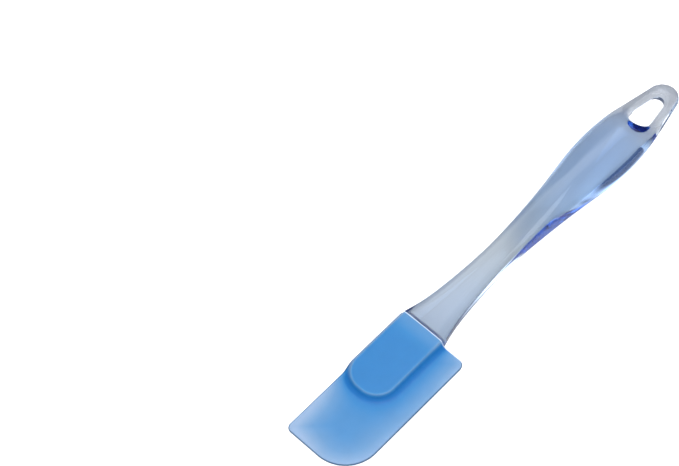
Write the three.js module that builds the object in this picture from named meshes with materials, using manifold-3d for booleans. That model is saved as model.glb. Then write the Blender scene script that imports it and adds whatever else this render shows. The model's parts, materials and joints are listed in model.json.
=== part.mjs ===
// A small silicone spatula: a clear moulded handle with a hanging loop, and a soft blade whose
// pocket slides over the handle's flat tang. Millimetres, +Z up, lying at rest on Z = 0.
//
// The handle runs along X, with its hanging end at +X and the blade at -X. Sizes along it are
// given as `run`, the distance from the hanging end towards the blade.

import * as THREE from 'three';
import { mergeVertices } from 'three/addons/utils/BufferGeometryUtils.js';
import Module from 'manifold-3d';

const wasm = await Module();
wasm.setup();

// ---------------------------------------------------------------- driving dimensions

const GAP = 0.3; // clearance between the handle and the head

// Handle: superellipse sections. Half-width and half-height are smooth curves drawn by evenly
// spaced control values, from just behind the hanging end to just past the shoulder.
const HANDLE_LENGTH = 175.3; // hanging end to shoulder
const HALF_WIDTHS = [4.4, 6.0, 9.3, 12.3, 13.8, 13.5, 11.5, 8.7, 7.2, 6.5, 6.4, 7.3, 8.5, 11.4, 17.8];
const HALF_HEIGHTS = [3.0, 4.0, 5.5, 7.3, 8.5, 9.2, 9.3, 8.4, 6.4, 4.3, 4.0, 4.1, 4.2, 4.6, 5.5];
const NOSE_LENGTH = 6.5; // rounding of the hanging end
const NOSE_START = 0.15; // the small flat left at its very tip
const LOOP_HALF_HEIGHT = 2.5;
const LOOP_RAMP = { start: 21, end: 35 }; // run over which the thin loop thickens into the grip
const GRIP_POWER = 2.05; // section exponent: 2 is an ellipse, higher is boxier
const LOOP_POWER = 2.5;
const FLARE_POWER = 4.5;
const FLARE_BLEND = { start: 0.4, end: 0.66 }; // share of the length over which it turns boxier

// Hanging hole: an egg between two arcs, wider towards the grip.
const HOLE_WIDE = { run: 25.4, radius: 5.4 };
const HOLE_NARROW = { run: 12.9, radius: 3.6 };
const HOLE_CUTTER_DEPTH = 30; // taller than the handle is thick

// Tang: a flat tongue with a rounded end.
const TANG_LENGTH = 37;
const TANG_ROOT = { halfWidth: 9.2, halfHeight: 2.7 };
const TANG_TIP = { halfWidth: 7.6, halfHeight: 1.9 };
const TANG_ROUND = 6.5; // length of the rounded end
const TANG_POWER = 5;
const TANG_OVERLAP = 6; // how far the tang's solid reaches back into the flare

// Head: blade plate, offset towards -Y, with a raised pocket around the tang.
const MOUTH = HANDLE_LENGTH + GAP; // run of the pocket's open end
const BLADE_LENGTH = 74.9;
const BLADE_LEFT = 11.6; // blade edge on the +Y side, next to the pocket
const BLADE_RIGHT = -24.9; // blade edge on the -Y side
const TIP_LEFT_RADIUS = 2.9;
const TIP_RIGHT_RADIUS = 17.5;
const WING_RADIUS = 3.7;
const BLADE_HALF_THICKNESS = 1.3; // at the middle
const EDGE_HALF_THICKNESS = 0.5; // around the outline
const POCKET_LENGTH = 43;
const POCKET_HALF_WIDTH = 13.0;
const POCKET_ROUND = 11; // length of its rounded end, seen from above
const POCKET_DROP = 3.7; // length over which its height rounds down at that end
const POCKET_HALF_HEIGHT = { mouth: 4.75, end: 4.1 };
const POCKET_POWER = 2.8;
const POCKET_FLAT = 0.985; // share of the height where its top and bottom are cut flat

// Facets
const LOFT_SIDES = 40;
const ROUND_END_FLAT = 0.2; // a rounded end stops this short of a point
const HANDLE_STEPS = 48;
const TANG_STEPS = 14;
const POCKET_STEPS = 22;
const BLADE_STEPS = 128;
const BLADE_RINGS = [0.25, 0.5, 0.7, 0.85, 0.95]; // share of the way from the middle to the edge
const ARC_STEPS = 20;
const END_CROWDING = 0.8; // how much closer together a loft's sections stand at its ends

// ---------------------------------------------------------------- shape helpers

const clamp = THREE.MathUtils.clamp;
const smoothstep = THREE.MathUtils.smoothstep;
const lerp = THREE.MathUtils.lerp;

// A uniform cubic B-spline through evenly spaced control values, t from 0 to 1.
function controlCurve(values, t) {
  const spans = values.length - 3;
  const place = clamp(t * spans, 0, spans);
  const first = Math.min(Math.floor(place), spans - 1);
  const f = place - first;
  const weights = [(1 - f) ** 3, 3 * f ** 3 - 6 * f ** 2 + 4, 1 + 3 * f + 3 * f ** 2 - 3 * f ** 3, f ** 3];
  return weights.reduce((sum, weight, i) => sum + (weight * values[first + i]) / 6, 0);
}

// 1 until `length` before the end, then a quarter ellipse down to 0 at the end.
function roundedEnd(distanceToEnd, length) {
  const inside = clamp(1 - distanceToEnd / length, 0, 1);
  return Math.sqrt(1 - inside ** 2);
}

// Maps 0..1 to 0..1 with smaller steps near both ends.
function crowdedEnds(t) {
  return lerp(t, smoothstep(t, 0, 1), END_CROWDING);
}

// A closed body along X with superellipse sections. section(run) gives halfWidth, halfHeight,
// power and, where the top and bottom are cut flat, flatHeight.
function loft(startRun, endRun, steps, section) {
  const geometry = new THREE.CylinderGeometry(1, 1, 1, LOFT_SIDES, steps);
  const position = geometry.attributes.position;
  for (let i = 0; i < position.count; i += 1) {
    const run = lerp(startRun, endRun, crowdedEnds(0.5 - position.getY(i)));
    const { halfWidth, halfHeight, power, flatHeight = halfHeight } = section(run);
    const [width, height] = [position.getZ(i), position.getX(i)].map(
      (value) => Math.sign(value) * Math.abs(value) ** (2 / power),
    );
    position.setXYZ(i, -run, width * halfWidth, clamp(height * halfHeight, -flatHeight, flatHeight));
  }
  return geometry;
}

// A closed plate over `outline`, thickest at `centre` and thinning to its edge.
function pillow(outline, centre, halfThickness, edgeHalfThickness) {
  const heightAt = (share) => lerp(halfThickness, edgeHalfThickness, share ** 3);
  const upper = BLADE_RINGS.map((share) => new THREE.Vector2(share, heightAt(share)));
  const lower = BLADE_RINGS.map((share) => new THREE.Vector2(share, -heightAt(share)));
  const edge = [-1, 1].map((side) => new THREE.Vector2(1, side * edgeHalfThickness));
  const profile = [
    new THREE.Vector2(0, -halfThickness), ...lower, ...edge, ...upper.reverse(),
    new THREE.Vector2(0, halfThickness),
  ];
  const steps = outline.length;
  const geometry = new THREE.LatheGeometry(profile, steps);
  const position = geometry.attributes.position;
  for (let i = 0; i < position.count; i += 1) {
    const height = position.getY(i);
    const share = Math.hypot(position.getX(i), position.getZ(i));
    const rim = outline[Math.floor(i / profile.length) % steps];
    position.setXYZ(i, lerp(centre.x, rim.x, share), lerp(centre.y, rim.y, share), height);
  }
  return geometry;
}

function toSolid(geometry) {
  const bare = geometry.clone();
  bare.deleteAttribute('normal');
  bare.deleteAttribute('uv');
  const merged = mergeVertices(bare, 1e-5);
  return new wasm.Manifold(new wasm.Mesh({
    numProp: 3,
    vertProperties: new Float32Array(merged.attributes.position.array),
    triVerts: new Uint32Array(merged.index.array),
  }));
}

function toMesh(name, solid, material) {
  const { numProp, vertProperties, triVerts } = solid.getMesh();
  const geometry = new THREE.BufferGeometry();
  geometry.setAttribute('position', new THREE.BufferAttribute(vertProperties, numProp));
  geometry.setIndex(new THREE.BufferAttribute(triVerts, 1));
  geometry.computeVertexNormals();
  const mesh = new THREE.Mesh(geometry, material);
  mesh.name = name;
  return mesh;
}

// ---------------------------------------------------------------- handle

function handleSection(run) {
  const along = run / HANDLE_LENGTH;
  const nose = roundedEnd(run, NOSE_LENGTH);
  const ramp = smoothstep(run, LOOP_RAMP.start, LOOP_RAMP.end);
  const flare = smoothstep(along, FLARE_BLEND.start, FLARE_BLEND.end);
  return {
    halfWidth: nose * controlCurve(HALF_WIDTHS, along),
    halfHeight: nose * lerp(LOOP_HALF_HEIGHT, controlCurve(HALF_HEIGHTS, along), ramp),
    power: lerp(LOOP_POWER, GRIP_POWER, ramp) + (FLARE_POWER - GRIP_POWER) * flare,
  };
}

// The tang, or with `clearance` the hollow that it fits.
function tangSection(clearance) {
  return (run) => {
    const along = clamp((run - HANDLE_LENGTH) / TANG_LENGTH, 0, 1);
    const toEnd = HANDLE_LENGTH + TANG_LENGTH + clearance - run;
    const fullWidth = lerp(TANG_ROOT.halfWidth, TANG_TIP.halfWidth, along) + clearance;
    return {
      halfWidth: fullWidth * roundedEnd(toEnd, TANG_ROUND),
      halfHeight: lerp(TANG_ROOT.halfHeight, TANG_TIP.halfHeight, along) + clearance,
      power: TANG_POWER,
    };
  };
}

function tangBody(startRun, clearance) {
  const endRun = HANDLE_LENGTH + TANG_LENGTH + clearance - ROUND_END_FLAT;
  return toSolid(loft(startRun, endRun, TANG_STEPS, tangSection(clearance)));
}

// The egg-shaped hole, as a tall cutter through the loop.
function hangingHole() {
  const spread = HOLE_WIDE.run - HOLE_NARROW.run;
  const lean = Math.asin((HOLE_WIDE.radius - HOLE_NARROW.radius) / spread);
  const quarter = Math.PI / 2;
  const outline = new THREE.Shape();
  outline.absarc(-HOLE_WIDE.run, 0, HOLE_WIDE.radius, quarter - lean, -quarter + lean, false);
  outline.absarc(-HOLE_NARROW.run, 0, HOLE_NARROW.radius, -quarter + lean, quarter - lean, false);
  outline.closePath();
  const cutter = new THREE.ExtrudeGeometry(outline, {
    depth: HOLE_CUTTER_DEPTH, bevelEnabled: false, curveSegments: ARC_STEPS,
  });
  return toSolid(cutter.translate(0, 0, -HOLE_CUTTER_DEPTH / 2));
}

function makeHandle() {
  const grip = toSolid(loft(NOSE_START, HANDLE_LENGTH, HANDLE_STEPS, handleSection));
  const solid = grip.add(tangBody(HANDLE_LENGTH - TANG_OVERLAP, 0)).subtract(hangingHole());
  const clearPlastic = new THREE.MeshStandardMaterial({ color: 0xa6b9e0, roughness: 0.08, metalness: 0 });
  return toMesh('handle', solid, clearPlastic);
}

// ---------------------------------------------------------------- head

function bladeOutline() {
  const top = -MOUTH;
  const tip = -MOUTH - BLADE_LENGTH;
  const quarter = Math.PI / 2;
  const outline = new THREE.Shape();
  outline.moveTo(top, BLADE_LEFT);
  const corners = [
    [tip + TIP_LEFT_RADIUS, BLADE_LEFT - TIP_LEFT_RADIUS, TIP_LEFT_RADIUS],
    [tip + TIP_RIGHT_RADIUS, BLADE_RIGHT + TIP_RIGHT_RADIUS, TIP_RIGHT_RADIUS],
    [top - WING_RADIUS, BLADE_RIGHT + WING_RADIUS, WING_RADIUS],
  ];
  corners.forEach(([x, y, radius], i) => {
    outline.absarc(x, y, radius, (i + 1) * quarter, (i + 2) * quarter);
  });
  outline.closePath();
  return outline.getSpacedPoints(BLADE_STEPS).slice(0, BLADE_STEPS);
}

function pocketSection(run) {
  const toEnd = MOUTH + POCKET_LENGTH - run;
  const height = lerp(POCKET_HALF_HEIGHT.mouth, POCKET_HALF_HEIGHT.end, (run - MOUTH) / POCKET_LENGTH);
  const halfHeight = height * roundedEnd(toEnd, POCKET_DROP);
  return {
    halfWidth: POCKET_HALF_WIDTH * roundedEnd(toEnd, POCKET_ROUND),
    halfHeight,
    flatHeight: halfHeight * POCKET_FLAT,
    power: POCKET_POWER,
  };
}

function makeHead() {
  const centre = new THREE.Vector2(-MOUTH - BLADE_LENGTH / 2, (BLADE_LEFT + BLADE_RIGHT) / 2);
  const blade = toSolid(pillow(bladeOutline(), centre, BLADE_HALF_THICKNESS, EDGE_HALF_THICKNESS));
  const pocketEnd = MOUTH + POCKET_LENGTH - ROUND_END_FLAT;
  const pocket = toSolid(loft(MOUTH, pocketEnd, POCKET_STEPS, pocketSection));
  const solid = blade.add(pocket).subtract(tangBody(HANDLE_LENGTH - GAP, GAP));
  const silicone = new THREE.MeshStandardMaterial({ color: 0x4d96dc, roughness: 0.45, metalness: 0 });
  return toMesh('head', solid, silicone);
}

// ---------------------------------------------------------------- assembly at rest

// Lying on a table, the spatula touches it under the grip and under the pocket's far end, so its
// axis leans down towards the blade by this angle.
function restingLean() {
  const pocketRun = MOUTH + POCKET_LENGTH - POCKET_DROP;
  const pocketDepth = pocketSection(pocketRun).flatHeight;
  let steepest = 0;
  for (let run = 0; run < HANDLE_LENGTH; run += 1) {
    const slope = (handleSection(run).halfHeight - pocketDepth) / (pocketRun - run);
    steepest = Math.max(steepest, slope);
  }
  return Math.atan(steepest);
}

const lying = new THREE.Group();
lying.add(makeHandle(), makeHead());
lying.rotation.y = -restingLean();

// The origin is on the table, under the middle of the whole object's box.
const box = new THREE.Box3().setFromObject(lying, true);
const middle = box.getCenter(new THREE.Vector3());
lying.position.set(-middle.x, -middle.y, -box.min.z);

const spatula = new THREE.Group();
spatula.add(lying);

export default spatula;
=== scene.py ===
"""The looks of a small silicone spatula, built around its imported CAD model.

Two pieces: a clear, blue-tinted plastic handle and a translucent azure silicone head. Both are made
as smooth closed meshes of a shape given by formulas, in millimetres in the spatula's own axes:
x = -run, where run is the distance from the hanging end towards the blade, y to the blade's
straight side, z up. They are then laid where the CAD model lies, in metres.
"""

import json
import math

import bpy
import numpy as np
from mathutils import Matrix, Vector


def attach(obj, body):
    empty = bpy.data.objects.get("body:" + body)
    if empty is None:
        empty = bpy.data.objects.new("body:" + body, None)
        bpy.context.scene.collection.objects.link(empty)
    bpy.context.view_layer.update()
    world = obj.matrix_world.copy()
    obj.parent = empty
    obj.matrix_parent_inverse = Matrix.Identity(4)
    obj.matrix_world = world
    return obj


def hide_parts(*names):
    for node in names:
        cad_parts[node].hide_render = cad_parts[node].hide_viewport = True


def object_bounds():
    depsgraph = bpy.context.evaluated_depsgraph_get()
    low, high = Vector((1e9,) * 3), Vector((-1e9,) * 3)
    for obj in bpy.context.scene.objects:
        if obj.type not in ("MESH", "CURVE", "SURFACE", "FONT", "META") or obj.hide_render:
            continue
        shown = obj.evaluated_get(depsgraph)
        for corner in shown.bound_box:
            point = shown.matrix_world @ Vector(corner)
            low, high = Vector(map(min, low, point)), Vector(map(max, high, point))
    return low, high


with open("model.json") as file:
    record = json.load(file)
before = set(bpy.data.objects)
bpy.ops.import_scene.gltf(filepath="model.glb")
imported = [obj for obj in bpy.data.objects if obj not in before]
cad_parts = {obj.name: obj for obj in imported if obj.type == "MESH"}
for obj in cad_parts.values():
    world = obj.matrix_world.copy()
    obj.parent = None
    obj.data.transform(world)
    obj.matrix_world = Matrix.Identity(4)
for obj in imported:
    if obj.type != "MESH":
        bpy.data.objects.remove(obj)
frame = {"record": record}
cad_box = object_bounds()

MM = 0.001

# ---------------------------------------------------------------- driving dimensions, mm

GAP = 0.3

HANDLE_LENGTH = 175.3
HALF_WIDTHS = [4.4, 6.0, 9.3, 12.3, 13.8, 13.5, 11.5, 8.7, 7.2, 6.5, 6.4, 7.3, 8.5, 11.4, 17.8]
HALF_HEIGHTS = [3.0, 4.0, 5.5, 7.3, 8.5, 9.2, 9.3, 8.4, 6.4, 4.3, 4.0, 4.1, 4.2, 4.6, 5.5]
NOSE_LENGTH = 6.5
LOOP_HALF_HEIGHT = 2.5
LOOP_RAMP = (21.0, 35.0)  # run where the thin loop starts to thicken, and where it ends
GRIP_POWER = 2.05
LOOP_POWER = 2.5
FLARE_POWER = 4.5
FLARE_BLEND = (0.40, 0.66)  # share of the length over which the section turns boxier
SHOULDER_ROUND = 0.6

HOLE_WIDE_RUN, HOLE_WIDE_RADIUS = 25.4, 5.4
HOLE_NARROW_RUN, HOLE_NARROW_RADIUS = 12.9, 3.6
HOLE_ROUND = 2.1

TANG_LENGTH = 37.0
TANG_ROOT = (9.2, 2.7)  # half-width, half-height
TANG_TIP = (7.6, 1.9)
TANG_ROUND = 6.5
TANG_POWER = 5.0
TANG_OVERLAP = 8.0  # how far the tang reaches back into the flare

MOUTH = HANDLE_LENGTH + GAP
BLADE_LENGTH = 74.9
BLADE_LEFT = 11.6
BLADE_RIGHT = -24.9
TIP_LEFT_RADIUS = 2.9
TIP_RIGHT_RADIUS = 17.5
WING_RADIUS = 3.7
INNER_CORNER_RADIUS = 0.3  # next to the pocket's mouth
EDGE_HALF_THICKNESS = 0.5
EDGE_ROUND = 0.95  # share of the edge's half-thickness that is rounded
BLADE_HALF_THICKNESS = 1.3
THICKENING = 14.0  # how far in from the edge the blade reaches its full thickness

POCKET_LENGTH = 43.0
POCKET_HALF_WIDTH = 13.0
POCKET_ROUND = 12.0
POCKET_HEIGHT_MOUTH = 4.75
POCKET_HEIGHT_END = 4.1
POCKET_CROWN = 0.5
POCKET_WALL_SLOPE = 1.9
POCKET_RIM_ROUND = 0.7
POCKET_FOOT_ROUND = 1.6
MOUTH_ROUND = 0.4

HANDLE_REACH = (15.0, 11.0)  # half-width and half-height of the space searched for the handle
HEAD_REACH = 6.0  # half-height of the space searched for the head
MARGIN = 1.0
HANDLE_CELL = (0.6, 0.6, 0.6)
HEAD_CELL = (0.5, 0.5, 0.22)


# ---------------------------------------------------------------- formulas

def smoothstep(value, low, high):
    t = np.clip((value - low) / (high - low), 0.0, 1.0)
    return t * t * (3.0 - 2.0 * t)


def control_curve(values, t):
    """A uniform cubic B-spline over evenly spaced control values, t from 0 to 1."""
    values = np.asarray(values)
    spans = len(values) - 3
    place = np.clip(t * spans, 0.0, spans)
    first = np.minimum(place.astype(int), spans - 1)
    f = place - first
    weights = ((1 - f) ** 3, 3 * f**3 - 6 * f**2 + 4, 1 + 3 * f + 3 * f**2 - 3 * f**3, f**3)
    return sum(weight * values[first + i] for i, weight in enumerate(weights)) / 6.0


def both(a, b, radius):
    """Where two shapes overlap, with the edge between them rounded."""
    corner = np.hypot(np.maximum(a + radius, 0), np.maximum(b + radius, 0)) - radius
    return np.where(np.minimum(a, b) > -radius, corner, np.maximum(a, b))


def either(a, b, radius):
    """Two shapes joined, with the inside corner between them filled."""
    return -both(-a, -b, radius)


def lower_of(a, b, radius):
    """The smaller of two heights, blended smoothly where they cross."""
    mix = np.clip(0.5 + 0.5 * (b - a) / radius, 0.0, 1.0)
    return b + (a - b) * mix - radius * mix * (1.0 - mix)


def as_distance(shape, points):
    """Divides a formula by its own slope, so that it reads about as millimetres."""
    slope = slope_of(shape, points, 0.02)
    least_slope = 1e-3
    return shape(points) / np.maximum(np.linalg.norm(slope, axis=1), least_slope)


def slope_of(shape, points, step=0.01):
    """The change of a formula per millimetre along each axis."""
    slope = np.empty_like(points)
    for axis in range(3):
        shift = np.zeros(3)
        shift[axis] = step
        slope[:, axis] = (shape(points + shift) - shape(points - shift)) / (2 * step)
    return slope


# ---------------------------------------------------------------- smooth meshes from formulas

RELAX_TURNS = 4
RELAX_SHARE = 0.6  # how far each turn moves a vertex towards the middle of its neighbours
SNAP_STEPS = 3


def surface_of(shape, low, high, step):
    """Vertices and quads of shape(points) = 0 inside a box, by surface nets, then moved on to it."""
    low, high, step = np.array(low, float), np.array(high, float), np.array(step, float)
    count = np.ceil((high - low) / step).astype(int) + 1
    axes = [low[i] + step[i] * np.arange(count[i]) for i in range(3)]
    value = np.empty(count)
    for i, x in enumerate(axes[0]):
        y, z = np.meshgrid(axes[1], axes[2], indexing="ij")
        layer = np.stack([np.full(y.size, x), y.ravel(), z.ravel()], 1)
        value[i] = shape(layer).reshape(y.shape)
    inside = value < 0

    cells = count - 1
    total = np.zeros((*cells, 3))
    hits = np.zeros(cells)
    faces = []
    number = np.arange(cells.prod()).reshape(cells)
    for axis in range(3):
        u, v = [(1, 2), (2, 0), (0, 1)][axis]
        start = tuple(slice(None, -1) if i == axis else slice(None) for i in range(3))
        end = tuple(slice(1, None) if i == axis else slice(None) for i in range(3))
        crossed = inside[start] != inside[end]
        at = np.argwhere(crossed)
        a, b = value[start][crossed], value[end][crossed]
        point = at.astype(float)
        point[:, axis] += a / (a - b)
        keep = np.all([(at[:, i] > 0) & (at[:, i] < cells[i]) for i in (u, v)], axis=0)
        ring = []
        for du, dv in ((-1, -1), (0, -1), (0, 0), (-1, 0)):
            cell = at[keep].copy()
            cell[:, u] += du
            cell[:, v] += dv
            index = tuple(cell.T)
            np.add.at(total, index, point[keep])
            np.add.at(hits, index, 1)
            ring.append(number[index])
        quad = np.stack(ring, 1)
        leaving = inside[start][crossed][keep]
        quad[~leaving] = quad[~leaving][:, ::-1]
        faces.append(quad)
    faces = np.concatenate(faces)
    used = hits.ravel() > 0
    renumber = np.cumsum(used) - 1
    faces = renumber[faces]
    points = low + step * (total.reshape(-1, 3)[used] / hits.ravel()[used][:, None])

    edges = np.concatenate([faces[:, [i, (i + 1) % 4]] for i in range(4)])
    degree = np.bincount(edges.ravel(), minlength=len(points))
    for turn in range(RELAX_TURNS + 1):
        if turn:
            near = np.zeros_like(points)
            np.add.at(near, edges[:, 0], points[edges[:, 1]])
            np.add.at(near, edges[:, 1], points[edges[:, 0]])
            points += RELAX_SHARE * (near / degree[:, None] - points)
        for _ in range(SNAP_STEPS):
            slope = slope_of(shape, points)
            steepness = np.maximum((slope**2).sum(1), 1e-6)
            move = -(shape(points) / steepness)[:, None] * slope
            length = np.maximum(np.linalg.norm(move, axis=1, keepdims=True), 1e-9)
            points += move * np.minimum(1.0, step.min() / length)
    return points, faces


def lying_at_rest():
    """The turn and shift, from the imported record, that lay the spatula's own axes down in the room."""
    hole = next(m for m in frame["record"]["mounts"] if m["name"] == "hanging_hole")
    up = np.array(hole["axis"])
    side = np.array([0.0, 1.0, 0.0])
    turn = np.stack([np.cross(side, up), side, up], 1)
    hole_run = (HOLE_WIDE_RUN + HOLE_WIDE_RADIUS + HOLE_NARROW_RUN - HOLE_NARROW_RADIUS) / 2
    shift = np.array(hole["pos_m"]) - turn @ np.array([-hole_run * MM, 0.0, 0.0])
    return turn, shift


def piece_of(name, shape, low, high, step, material):
    """A mesh object of the shape laid at rest, and its vertices in the spatula's own axes."""
    points, faces = surface_of(shape, low, high, step)
    normals = slope_of(shape, points)
    normals /= np.linalg.norm(normals, axis=1, keepdims=True)
    turn, shift = lying_at_rest()
    mesh = bpy.data.meshes.new(name)
    mesh.from_pydata((points * MM) @ turn.T + shift, [], faces.tolist())
    mesh.validate()
    mesh.shade_smooth()
    mesh.normals_split_custom_set_from_vertices(normals @ turn.T)
    mesh.materials.append(material)
    piece = bpy.data.objects.new(name, mesh)
    bpy.context.scene.collection.objects.link(piece)
    return piece, points


# ---------------------------------------------------------------- shapes

def grip_formula(points):
    """The handle down to its shoulder, without the hole: below 0 inside, 0 on its skin."""
    x, y, z = points.T
    run = -x
    along = run / HANDLE_LENGTH
    width = control_curve(HALF_WIDTHS, along)
    height = control_curve(HALF_HEIGHTS, along)
    body = smoothstep(run, *LOOP_RAMP)
    height = LOOP_HALF_HEIGHT + (height - LOOP_HALF_HEIGHT) * body
    flare = smoothstep(along, *FLARE_BLEND)
    power = LOOP_POWER + (GRIP_POWER - LOOP_POWER) * body
    power = power + (FLARE_POWER - GRIP_POWER) * flare
    section = ((np.abs(y) / width) ** power + (np.abs(z) / height) ** power) ** (1 / power)
    nose = np.maximum(1 - run / NOSE_LENGTH, 0)
    return np.hypot(section, nose) - 1


def egg_distance(points):
    """Distance to the hanging hole's outline, negative in the hole."""
    run, y = -points[:, 0], np.abs(points[:, 1])
    spread = HOLE_WIDE_RUN - HOLE_NARROW_RUN
    lean = (HOLE_WIDE_RADIUS - HOLE_NARROW_RADIUS) / spread
    flat = math.sqrt(1 - lean**2)
    p = HOLE_WIDE_RUN - run  # from the wide arc's centre towards the narrow one's
    k = -lean * y + flat * p
    wide = np.hypot(y, p) - HOLE_WIDE_RADIUS
    narrow = np.hypot(y, p - spread) - HOLE_NARROW_RADIUS
    side = y * flat + p * lean - HOLE_WIDE_RADIUS
    return np.where(k < 0, wide, np.where(k > flat * spread, narrow, side))


def tang_formula(clearance):
    """The tang, or with a clearance the hollow that it goes into."""
    def formula(points):
        x, y, z = points.T
        run = -x
        along = np.clip((run - HANDLE_LENGTH) / TANG_LENGTH, 0, 1)
        width = TANG_ROOT[0] + (TANG_TIP[0] - TANG_ROOT[0]) * along + clearance
        height = TANG_ROOT[1] + (TANG_TIP[1] - TANG_ROOT[1]) * along + clearance
        end = HANDLE_LENGTH + TANG_LENGTH + clearance
        rounding = np.maximum(1 - (end - run) / TANG_ROUND, 0)
        plan = np.hypot(y / width, rounding)
        return (plan**TANG_POWER + (np.abs(z) / height) ** TANG_POWER) ** (1 / TANG_POWER) - 1
    return formula


def handle_shape(points):
    grip = as_distance(grip_formula, points)
    grip = both(grip, -points[:, 0] - HANDLE_LENGTH, SHOULDER_ROUND)
    root = HANDLE_LENGTH - TANG_OVERLAP + points[:, 0]
    tang = np.maximum(as_distance(tang_formula(0.0), points), root)
    return both(np.minimum(grip, tang), -egg_distance(points), HOLE_ROUND)


def rounded_corner(a, b, radius):
    """Distance to a corner's outline, from how far a point is past its arc's centre each way."""
    return np.minimum(np.maximum(a, b), 0) + np.hypot(np.maximum(a, 0), np.maximum(b, 0)) - radius


def blade_outline_distance(points):
    """Distance to the blade's outline seen from above, negative inside; its corners differ."""
    run, y = -points[:, 0], points[:, 1]
    u = run - (MOUTH + BLADE_LENGTH / 2)
    v = y - (BLADE_LEFT + BLADE_RIGHT) / 2
    tip_radius = np.where(v > 0, TIP_LEFT_RADIUS, TIP_RIGHT_RADIUS)
    top_radius = np.where(v > 0, INNER_CORNER_RADIUS, WING_RADIUS)
    radius = np.where(u > 0, tip_radius, top_radius)
    a = np.abs(u) - BLADE_LENGTH / 2 + radius
    b = np.abs(v) - (BLADE_LEFT - BLADE_RIGHT) / 2 + radius
    return rounded_corner(a, b, radius)


def blade_half_thickness(outline_distance):
    inward = np.clip(-outline_distance / THICKENING, 0, 1)
    return EDGE_HALF_THICKNESS + (BLADE_HALF_THICKNESS - EDGE_HALF_THICKNESS) * inward * (2 - inward)


def blade_shape(points):
    outline = blade_outline_distance(points)
    half = blade_half_thickness(outline)
    return both(outline, np.abs(points[:, 2]) - half, EDGE_HALF_THICKNESS * EDGE_ROUND)


def pocket_outline_distance(points):
    """Distance to the pocket's outline seen from above, negative inside; its mouth is left open."""
    a = -points[:, 0] - (MOUTH + POCKET_LENGTH) + POCKET_ROUND
    b = np.abs(points[:, 1]) - POCKET_HALF_WIDTH + POCKET_ROUND
    return rounded_corner(a, b, POCKET_ROUND)


def pocket_shape(points):
    x, y, z = points.T
    run = -x
    foot = pocket_outline_distance(points)
    along = np.clip((run - MOUTH) / POCKET_LENGTH, 0, 1)
    top = POCKET_HEIGHT_MOUTH + (POCKET_HEIGHT_END - POCKET_HEIGHT_MOUTH) * along
    top = top - POCKET_CROWN * (y / POCKET_HALF_WIDTH) ** 2
    wall = -foot * POCKET_WALL_SLOPE
    height = lower_of(top, wall, POCKET_RIM_ROUND)
    steep = np.where(wall < top, math.hypot(1, POCKET_WALL_SLOPE), 1.0)
    return (np.abs(z) - height) / steep


def head_shape(points):
    solid = either(blade_shape(points), pocket_shape(points), POCKET_FOOT_ROUND)
    solid = both(solid, MOUTH + points[:, 0], MOUTH_ROUND)
    hollow = as_distance(tang_formula(GAP), points)
    return both(solid, -hollow, MOUTH_ROUND)


# ---------------------------------------------------------------- materials

def new_material(name):
    material = bpy.data.materials.new(name)
    material.use_nodes = True
    nodes, links = material.node_tree.nodes, material.node_tree.links
    shader = next(node for node in nodes if node.type == "BSDF_PRINCIPLED")
    output = next(node for node in nodes if node.type == "OUTPUT_MATERIAL")
    return material, nodes, links, shader, output


def ramp_of(nodes, stops):
    """A colour ramp node with the given (position, colour) stops."""
    ramp = nodes.new("ShaderNodeValToRGB")
    elements = ramp.color_ramp.elements
    for place, _ in stops[1:-1]:
        elements.new(place)
    for element, (place, shade) in zip(elements, stops):
        element.position = place
        element.color = (*shade, 1.0)
    return ramp


def coloured_by(nodes, links, attribute, socket, colour):
    """The socket's colour, turned into another one where the named mesh attribute is 1."""
    amount = nodes.new("ShaderNodeAttribute")
    amount.attribute_name = attribute
    mix = nodes.new("ShaderNodeMix")
    mix.data_type = "RGBA"
    mix.inputs["B"].default_value = (*colour, 1.0)
    links.new(amount.outputs["Fac"], mix.inputs["Factor"])
    links.new(socket, mix.inputs["A"])
    return mix.outputs["Result"]


# Colour of the painted shade in the crevice at the head's mouth and of the painted dark reflection
# streak at the flare's left corner.
PAINTED_DARK_LINE_COLOUR = (0.03, 0.05, 0.16)
# Painted shade on the handle's skin, picked by the place along it: grey over the thin loop at the
# hanging end, nearly white further on.
PLASTIC_PAINTED_SHADES = [  # clearness, colour of the skin there
    (0.10, (0.65, 0.66, 0.69)),
    (0.20, (0.93, 0.93, 0.94)),
    (0.38, (0.97, 0.95, 0.92)),
    (0.50, (0.99, 0.97, 0.93)),
    (0.66, (0.93, 0.91, 0.86)),
    (0.86, (0.92, 0.93, 0.94)),
]


def clear_plastic():
    """Clear styrene with a light blue tint that deepens with the length of the light's path.

    Its skin carries painted shade: greyer over the loop at the hanging end. It is darkest in a painted
    dark line in the crevice at the head's mouth, with a painted dark reflection streak at the flare's
    left corner.
    """
    material, nodes, links, shader, output = new_material("clear_blue_plastic")
    clear = nodes.new("ShaderNodeAttribute")
    clear.attribute_name = "shade_place"
    skin = ramp_of(nodes, PLASTIC_PAINTED_SHADES)
    links.new(clear.outputs["Fac"], skin.inputs["Fac"])
    dark_lined = coloured_by(nodes, links, "painted_dark_lines", skin.outputs["Color"], PAINTED_DARK_LINE_COLOUR)
    links.new(dark_lined, shader.inputs["Base Color"])
    shader.inputs["Roughness"].default_value = 0.015
    shader.inputs["IOR"].default_value = 1.5
    shader.inputs["Transmission Weight"].default_value = 1.0
    tint = nodes.new("ShaderNodeVolumeAbsorption")
    tint.inputs["Color"].default_value = (0.07, 0.48, 0.93, 1.0)
    tint.inputs["Density"].default_value = 30.0
    links.new(tint.outputs["Volume"], output.inputs["Volume"])
    return material


# Colour of the painted shade along the blade's thin rim.
RIM_SHADE_COLOUR = (0.015, 0.07, 0.16)
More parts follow.
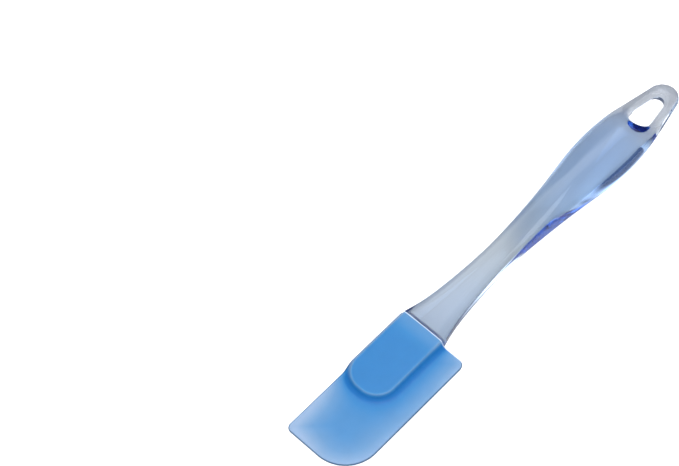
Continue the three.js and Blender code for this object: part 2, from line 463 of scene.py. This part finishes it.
# Colour of the painted highlight on the lip round the pocket's mouth.
LIP_HIGHLIGHT_COLOUR = (0.72, 0.84, 0.98)
SILICONE_SHADES = [  # tone, colour
    (0.00, (0.29, 0.42, 0.62)),
    (0.35, (0.125, 0.295, 0.54)),
    (0.70, (0.030, 0.215, 0.51)),
    (1.00, (0.004, 0.150, 0.46)),
]


def silicone():
    """Translucent azure silicone: pale where it is thin, saturated where it is thick, satin skin, with
    painted shade and highlights on the pocket, a painted highlight on the lip at its mouth and painted
    shade along the blade's rim.
    """
    material, nodes, links, shader, output = new_material("azure_silicone")
    tone = nodes.new("ShaderNodeAttribute")
    tone.attribute_name = "thickness_and_light_tone"
    ramp = ramp_of(nodes, SILICONE_SHADES)
    links.new(tone.outputs["Fac"], ramp.inputs["Fac"])

    coordinates = nodes.new("ShaderNodeTexCoord")
    cloud = nodes.new("ShaderNodeTexNoise")
    cloud.inputs["Scale"].default_value = 160.0
    cloud.inputs["Detail"].default_value = 3.0
    links.new(coordinates.outputs["Object"], cloud.inputs["Vector"])
    spread = nodes.new("ShaderNodeMapRange")
    spread.inputs["To Min"].default_value = 0.94
    spread.inputs["To Max"].default_value = 1.06
    links.new(cloud.outputs["Fac"], spread.inputs["Value"])
    mottle = nodes.new("ShaderNodeHueSaturation")
    links.new(spread.outputs["Result"], mottle.inputs["Value"])
    links.new(ramp.outputs["Color"], mottle.inputs["Color"])
    edged = coloured_by(nodes, links, "edge_shade", mottle.outputs["Color"], RIM_SHADE_COLOUR)
    lit = coloured_by(nodes, links, "lip_light", edged, LIP_HIGHLIGHT_COLOUR)
    links.new(lit, shader.inputs["Base Color"])

    grain = nodes.new("ShaderNodeTexNoise")
    grain.inputs["Scale"].default_value = 2600.0
    grain.inputs["Detail"].default_value = 2.0
    links.new(coordinates.outputs["Object"], grain.inputs["Vector"])
    bump = nodes.new("ShaderNodeBump")
    bump.inputs["Strength"].default_value = 0.12
    bump.inputs["Distance"].default_value = 0.0001
    links.new(grain.outputs["Fac"], bump.inputs["Height"])
    links.new(bump.outputs["Normal"], shader.inputs["Normal"])

    shader.inputs["Roughness"].default_value = 0.34
    shader.inputs["Specular IOR Level"].default_value = 0.35
    shader.inputs["IOR"].default_value = 1.41
    shader.inputs["Subsurface Weight"].default_value = 0.25
    shader.inputs["Subsurface Radius"].default_value = (0.5, 0.8, 1.0)
    shader.inputs["Subsurface Scale"].default_value = 0.003
    return material


# ---------------------------------------------------------------- pieces

def values_on(piece, name, values):
    """Stores one number per vertex, for the materials to read."""
    attribute = piece.data.attributes.new(name, "FLOAT", "POINT")
    attribute.data.foreach_set("value", values)


ARM_SIDE = (2.5, 5.5)  # how far off the middle the loop's right arm starts and is reached, mm
ARM_START, ARM_FADE, ARM_END = (4.0, 10.0), (12.0, 24.0), (20.0, 26.0)  # runs
# The loop's right arm gets less painted shade: its place is raised towards the lighter skin.
ARM_PAINTED_LIGHT = 0.1

# Where painted shade darkens the crevice at the handle's shoulder:
CREVICE_SHADE_DEPTH = (-0.7, -0.3)  # under the skin, mm
CREVICE_SHADE_WIDTH = (1.1, 0.5)  # short of the shoulder, mm
# A painted dark reflection streak along the flare's left corner:
STREAK_RUN, STREAK_LENGTH = 165.0, 9.0
STREAK_START = (164.0, 167.0)
STREAK_SHARE = 0.22  # of the half-width, at the shoulder
STREAK_EDGE = (-0.02, 0.04)


def shade_place(points):
    """The run as a share of the length, which picks the painted shade of the handle's skin, raised on
    the loop's right arm, which is painted lighter.
    """
    run = -points[:, 0]
    right_arm = smoothstep(-points[:, 1], *ARM_SIDE) * smoothstep(run, *ARM_START)
    right_arm = right_arm * (1 - smoothstep(run, *ARM_FADE)) * (1 - smoothstep(run, *ARM_END))
    return np.clip(run / HANDLE_LENGTH, 0, 1) + ARM_PAINTED_LIGHT * right_arm


def painted_dark_lines(points):
    """1 on painted shade in the crevice where the handle meets the head, and on a painted dark
    reflection streak at the flare's left corner.
    """
    run = -points[:, 0]
    at_skin = smoothstep(as_distance(grip_formula, points), *CREVICE_SHADE_DEPTH)
    at_end = smoothstep(run, HANDLE_LENGTH - CREVICE_SHADE_WIDTH[0], HANDLE_LENGTH - CREVICE_SHADE_WIDTH[1])
    to_side = points[:, 1] / control_curve(HALF_WIDTHS, run / HANDLE_LENGTH)
    inner = 1.0 - STREAK_SHARE * np.clip((run - STREAK_RUN) / STREAK_LENGTH, 0, 1)
    streak = smoothstep(to_side, inner + STREAK_EDGE[0], inner + STREAK_EDGE[1])
    streak = streak * smoothstep(run, *STREAK_START) * (points[:, 2] > 0) * (run < HANDLE_LENGTH)
    return np.maximum(at_skin * at_end, streak)


def make_handle():
    low = (-HANDLE_LENGTH - TANG_LENGTH - MARGIN, -HANDLE_REACH[0], -HANDLE_REACH[1])
    high = (MARGIN, *HANDLE_REACH)
    plastic = clear_plastic()
    piece, points = piece_of("handle_clear", handle_shape, low, high, HANDLE_CELL, plastic)
    values_on(piece, "shade_place", shade_place(points))
    values_on(piece, "painted_dark_lines", painted_dark_lines(points))
    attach(piece, "handle")
    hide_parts("handle")


THIN_TONE, THICK_TONE = 0.18, 0.38  # at the blade's outline, and what its middle adds
TONE_REACH = 15.0  # how far in from the outline the middle's tone is reached, mm
PALE_LEFT, PALE_TIP, PALE_WING = 0.24, 0.12, 0.14
LEFT_START = -14.0  # y from which the blade pales towards its left side
WING_END = (4.0, 26.0)  # distance from the mouth
TIP_START = 40.0
# Near the pocket the blue deepens: partly the thicker silicone there, partly painted shade at its foot.
POCKET_TONE, POCKET_FADE = 0.88, 4.5  # tone at the pocket's foot, and how far out it fades
# Painted shade: a darker band on the pocket's wall, all round it.
WALL_PAINTED_SHADE, WALL_PLACE, WALL_WIDTH = 0.24, 0.3, 1.3
# Painted light: the pocket's left wall, which faces the light, is paler.
LEFT_WALL_PAINTED_LIGHT, LEFT_WALL = 0.40, (8.0, 12.0)
# Painted highlight: a pale line along the pocket's rim.
RIM_PAINTED_HIGHLIGHT, RIM_PLACE, RIM_WIDTH = 0.42, 2.1, 0.55
PALE_TOP, TOP_EDGE = 0.10, (0.5, 3.0)
PALE_LIP, LIP_REACH = 0.28, 12.0

RIM_SHADE = 0.85
RIM_EDGE = (-0.6, -0.2)  # distance to the blade's outline
RIM_HALF_HEIGHT = 1.5
LIP_EDGE = (0.35, 0.75)  # distance from the mouth


def silicone_tone(points):
    """0 where the silicone is thin and pale, 1 where it is thick and its blue is deepest; on the pocket
    it also holds painted shade on the wall and at the foot, painted light on the left wall and a painted
    highlight along the rim.
    """
    from_mouth = -points[:, 0] - MOUTH
    depth = np.clip(-blade_outline_distance(points) / TONE_REACH, 0, 1)
    left = smoothstep(points[:, 1], LEFT_START, BLADE_LEFT)
    wing = 1 - smoothstep(from_mouth, *WING_END)
    tip = smoothstep(from_mouth, TIP_START, BLADE_LENGTH)
    paleness = PALE_LEFT * left + PALE_TIP * tip + PALE_WING * wing
    blade = THIN_TONE + THICK_TONE * depth * (2 - depth) - paleness * (1 - depth)

    to_outline = pocket_outline_distance(points)
    fade = np.exp(-np.maximum(to_outline, 0) / POCKET_FADE)
    wall = np.exp(-((to_outline + WALL_PLACE) / WALL_WIDTH) ** 2)
    left_wall = wall * smoothstep(points[:, 1], *LEFT_WALL)
    rim = np.exp(-((to_outline + RIM_PLACE) / RIM_WIDTH) ** 2)
    on_top = smoothstep(-to_outline, *TOP_EDGE)
    lip = 1 - smoothstep(from_mouth, 0.0, LIP_REACH)
    tone = blade + (POCKET_TONE - blade) * fade + WALL_PAINTED_SHADE * wall - LEFT_WALL_PAINTED_LIGHT * left_wall
    tone = tone - RIM_PAINTED_HIGHLIGHT * rim - (PALE_TOP + PALE_LIP * lip) * on_top
    return np.clip(tone, 0, 1)


def edge_shade(points):
    """How much painted shade darkens the blade's thin rim, standing in for light trapped in its edge."""
    rim = smoothstep(blade_outline_distance(points), *RIM_EDGE)
    return RIM_SHADE * rim * (np.abs(points[:, 2]) < RIM_HALF_HEIGHT)


def lip_light(points):
    """1 on the painted highlight along the lip round the pocket's mouth."""
    return 1 - smoothstep(-points[:, 0] - MOUTH, *LIP_EDGE)


def make_head():
    low = (-MOUTH - BLADE_LENGTH - MARGIN, BLADE_RIGHT - MARGIN, -HEAD_REACH)
    high = (-MOUTH + MARGIN, POCKET_HALF_WIDTH + MARGIN, HEAD_REACH)
    piece, points = piece_of("head_silicone", head_shape, low, high, HEAD_CELL, silicone())
    values_on(piece, "thickness_and_light_tone", silicone_tone(points))
    values_on(piece, "edge_shade", edge_shade(points))
    values_on(piece, "lip_light", lip_light(points))
    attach(piece, "head")
    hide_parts("head")


# ---------------------------------------------------------------- studio

CAMERA_AZIMUTH = math.radians(46.6)
CAMERA_ELEVATION = math.radians(57.7)
CAMERA_DISTANCE = 0.877
CAMERA_AIM = Vector((-0.0363, 0.0694, 0.0))
LENS = 101.9
SENSOR = 36.0


def make_camera():
    level = Vector((math.sin(CAMERA_AZIMUTH), math.cos(CAMERA_AZIMUTH), 0.0))
    look = level * math.cos(CAMERA_ELEVATION) - Vector((0, 0, math.sin(CAMERA_ELEVATION)))
    data = bpy.data.cameras.new("camera")
    data.lens = LENS
    data.sensor_width = SENSOR
    camera = bpy.data.objects.new("camera", data)
    camera.location = CAMERA_AIM - look * CAMERA_DISTANCE
    camera.rotation_euler = look.to_track_quat("-Z", "Y").to_euler()
    bpy.context.scene.collection.objects.link(camera)
    bpy.context.scene.camera = camera


FLOOR_PAPER = (0.73, 0.73, 0.74)
FLOOR_GLOW = 0.9
FLOOR_HALF = 4.0
FLOOR_DROP = 0.0002  # keeps it clear of the spatula's underside


def camera_sees(nodes, links, to_others, to_camera, output):
    """Gives the camera one shader and all other light another one."""
    ray = nodes.new("ShaderNodeLightPath")
    seen = nodes.new("ShaderNodeMixShader")
    links.new(ray.outputs["Is Camera Ray"], seen.inputs["Fac"])
    links.new(to_others, seen.inputs[1])
    links.new(to_camera, seen.inputs[2])
    links.new(seen.outputs["Shader"], output.inputs["Surface"])


def make_floor():
    """A light table: white to the camera, pale grey paper to the light that reaches the spatula."""
    mesh = bpy.data.meshes.new("floor")
    half = FLOOR_HALF
    corners = [(-half, -half, 0), (half, -half, 0), (half, half, 0), (-half, half, 0)]
    mesh.from_pydata(corners, [], [(0, 1, 2, 3)])
    floor = bpy.data.objects.new("floor", mesh)
    bpy.context.scene.collection.objects.link(floor)
    floor.location.z = cad_box[0][2] - FLOOR_DROP
    material, nodes, links, paper, output = new_material("floor")
    paper.inputs["Base Color"].default_value = (*FLOOR_PAPER, 1.0)
    paper.inputs["Roughness"].default_value = 0.9
    paper.inputs["Specular IOR Level"].default_value = 0.1
    glow = nodes.new("ShaderNodeEmission")
    glow.inputs["Strength"].default_value = FLOOR_GLOW
    glowing = nodes.new("ShaderNodeAddShader")
    links.new(paper.outputs["BSDF"], glowing.inputs[0])
    links.new(glow.outputs["Emission"], glowing.inputs[1])
    camera_sees(nodes, links, paper.outputs["BSDF"], glowing.outputs["Shader"], output)
    mesh.materials.append(material)


def softbox(name, place, size, power):
    data = bpy.data.lights.new(name, "AREA")
    data.shape = "RECTANGLE"
    data.size, data.size_y = size
    data.energy = power
    light = bpy.data.objects.new(name, data)
    light.location = place
    light.rotation_euler = (-Vector(place)).to_track_quat("-Z", "Y").to_euler()
    bpy.context.scene.collection.objects.link(light)


SKY_STRENGTH = 1.1
BACKDROP = (0.93, 0.93, 0.94)  # what the camera sees beyond the floor
HORIZON_FADE = [(0.10, (0.10, 0.10, 0.12)), (0.50, (1.0, 1.0, 1.0))]  # sine of the elevation, colour
FLAG_DIRECTION = (35.0, -30.0)  # the dark side of the room: degrees from +X, degrees up
FLAG_FADE = [(79.0, (1.0, 1.0, 1.0)), (76.5, (0.15, 0.18, 0.26))]  # degrees away from it, colour

BANK_DIRECTION = (43.0, 56.0)  # a soft light bank, in the same degrees
BANK_CORE, BANK_EDGE = 5.0, 18.0  # degrees from its middle where it starts to fade, and has faded
BANK_BRIGHTNESS = 1.5

OVERHEAD_PLACE = (-0.05, -0.10, 1.2)
OVERHEAD_SIZE = (0.8, 0.8)
OVERHEAD_POWER = 5.5


def cosine_to(nodes, links, direction, azimuth, elevation):
    """How near a direction is to the given one: the cosine of the angle between them."""
    azimuth, elevation = math.radians(azimuth), math.radians(elevation)
    level = math.cos(elevation)
    target = (level * math.cos(azimuth), level * math.sin(azimuth), math.sin(elevation))
    cosine = nodes.new("ShaderNodeVectorMath")
    cosine.operation = "DOT_PRODUCT"
    cosine.inputs[1].default_value = target
    links.new(direction, cosine.inputs[0])
    return cosine.outputs["Value"]


def make_lights():
    """A pale dome, dark near its horizon and on one side, with a soft bank and a softbox above."""
    world = bpy.data.worlds.new("studio")
    bpy.context.scene.world = world
    world.use_nodes = True
    nodes, links = world.node_tree.nodes, world.node_tree.links
    background = nodes["Background"]
    background.inputs["Strength"].default_value = SKY_STRENGTH
    direction = nodes.new("ShaderNodeTexCoord").outputs["Generated"]
    split = nodes.new("ShaderNodeSeparateXYZ")
    links.new(direction, split.inputs["Vector"])
    dome = ramp_of(nodes, HORIZON_FADE)
    links.new(split.outputs["Z"], dome.inputs["Fac"])

    to_flag = cosine_to(nodes, links, direction, *FLAG_DIRECTION)
    flag = ramp_of(nodes, [(math.cos(math.radians(angle)), shade) for angle, shade in FLAG_FADE])
    links.new(to_flag, flag.inputs["Fac"])
    shaded = nodes.new("ShaderNodeMix")
    shaded.data_type = "RGBA"
    shaded.blend_type = "MULTIPLY"
    shaded.inputs["Factor"].default_value = 1.0
    links.new(dome.outputs["Color"], shaded.inputs["A"])
    links.new(flag.outputs["Color"], shaded.inputs["B"])

    bank = nodes.new("ShaderNodeMapRange")
    bank.interpolation_type = "SMOOTHSTEP"
    bank.inputs["From Min"].default_value = math.cos(math.radians(BANK_EDGE))
    bank.inputs["From Max"].default_value = math.cos(math.radians(BANK_CORE))
    bank.inputs["To Max"].default_value = BANK_BRIGHTNESS
    links.new(cosine_to(nodes, links, direction, *BANK_DIRECTION), bank.inputs["Value"])
    total = nodes.new("ShaderNodeVectorMath")
    total.operation = "ADD"
    links.new(shaded.outputs["Result"], total.inputs[0])
    links.new(bank.outputs["Result"], total.inputs[1])
    links.new(total.outputs["Vector"], background.inputs["Color"])

    backdrop = nodes.new("ShaderNodeBackground")
    backdrop.inputs["Color"].default_value = (*BACKDROP, 1.0)
    room, beyond = background.outputs["Background"], backdrop.outputs["Background"]
    camera_sees(nodes, links, room, beyond, nodes["World Output"])
    softbox("overhead", OVERHEAD_PLACE, OVERHEAD_SIZE, OVERHEAD_POWER)


DEEPEST_PATH = 24  # bounces through clear plastic before light is given up
MIRROR_BOUNCES = 16

make_camera()
make_handle()
make_head()
make_floor()
make_lights()
bpy.context.scene.view_settings.view_transform = "Standard"
bpy.context.scene.cycles.max_bounces = DEEPEST_PATH
bpy.context.scene.cycles.glossy_bounces = MIRROR_BOUNCES
bpy.context.scene.cycles.transmission_bounces = DEEPEST_PATH
